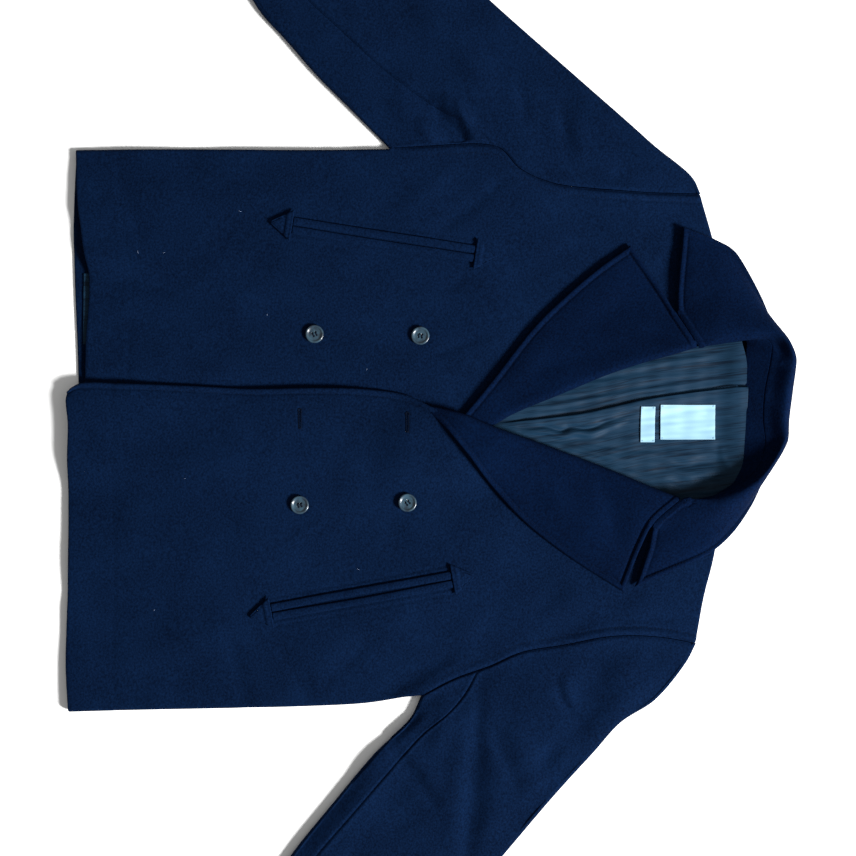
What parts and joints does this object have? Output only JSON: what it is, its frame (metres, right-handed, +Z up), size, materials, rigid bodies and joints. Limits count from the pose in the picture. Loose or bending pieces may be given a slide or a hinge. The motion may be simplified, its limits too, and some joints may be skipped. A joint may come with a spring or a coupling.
{
  "type": "pea coat",
  "caption": "A navy double-breasted melton wool pea coat laid open on its back, one front over the other, with wide lapels and slanted pockets.",
  "frame": {"origin": "the middle of the whole coat's box, on the surface that it lies on", "axes": "+X towards the wearer's left sleeve, +Y from the hem to the collar, +Z up from the surface"},
  "size_m": [1.3526, 0.802, 0.0332],
  "materials": {
    "melton_wool": "felted and brushed navy melton wool, matt with a short nap",
    "twill_lining": "smooth slate twill lining with tonal stripes, low sheen",
    "label_satin": "pale woven satin label, blank",
    "button_resin": "moulded and polished dark resin with a brighter rim"
  },
  "bodies": {
    "root": {"back": "melton_wool", "right_front": "melton_wool", "left_front": "melton_wool", "right_lapel": "melton_wool", "left_lapel": "melton_wool", "collar_stand": "melton_wool", "collar_leaf": "melton_wool", "right_top_sleeve": "melton_wool", "right_under_sleeve": "melton_wool", "left_top_sleeve": "melton_wool", "left_under_sleeve": "melton_wool", "neck_lining": "twill_lining", "hem_lining": "twill_lining", "large_label": "label_satin", "small_label": "label_satin", "right_jet_inner": "melton_wool", "right_jet_outer": "melton_wool", "right_arrow_lower": "melton_wool", "right_arrow_upper": "melton_wool", "left_jet_inner": "melton_wool", "left_jet_outer": "melton_wool", "left_arrow_lower": "melton_wool", "left_arrow_upper": "melton_wool", "button_right_lower": "button_resin", "button_right_upper": "button_resin", "button_left_lower": "button_resin", "button_left_upper": "button_resin"}
  },
  "joints": []
}
